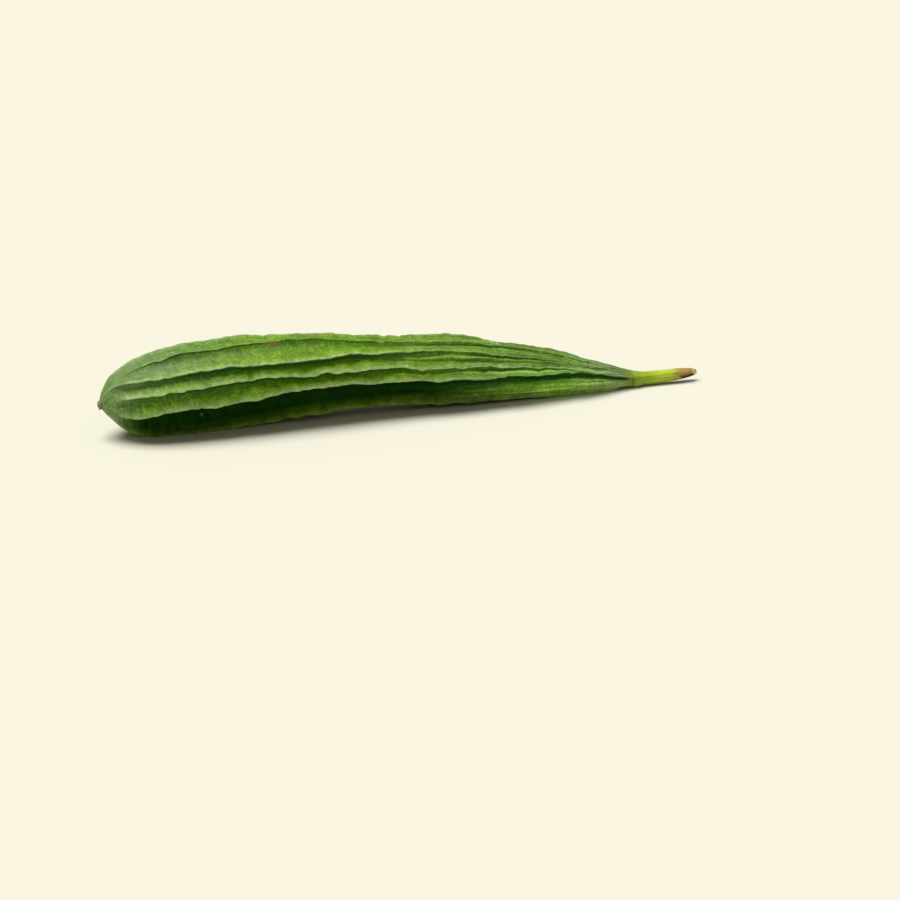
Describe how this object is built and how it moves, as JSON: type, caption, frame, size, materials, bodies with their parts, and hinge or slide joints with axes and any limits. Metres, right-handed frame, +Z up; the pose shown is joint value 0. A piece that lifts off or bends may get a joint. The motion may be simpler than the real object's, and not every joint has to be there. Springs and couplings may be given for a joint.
{
  "type": "angled luffa",
  "caption": "Whole fresh angled luffa with sharp lengthwise ribs, a short cut stem and the dried remains of its flower, lying on its side.",
  "frame": {"origin": "on the resting surface, under the middle of the object's box", "axes": "+X from the blossom end to the stem, +Z up, -Y the front"},
  "size_m": [0.3402, 0.0486, 0.0467],
  "materials": {
    "fruit_rind": "satin green rind with a thin whitish bloom, paler on the crests of the ribs and darker in the grooves",
    "green_stalk": "smooth yellow-green stalk, brown and dry at its cut end",
    "dried_flower": "dry, matt and shrivelled"
  },
  "bodies": {
    "root": {"fruit": "fruit_rind", "stem": "green_stalk", "dried_flower": "dried_flower"}
  },
  "joints": []
}
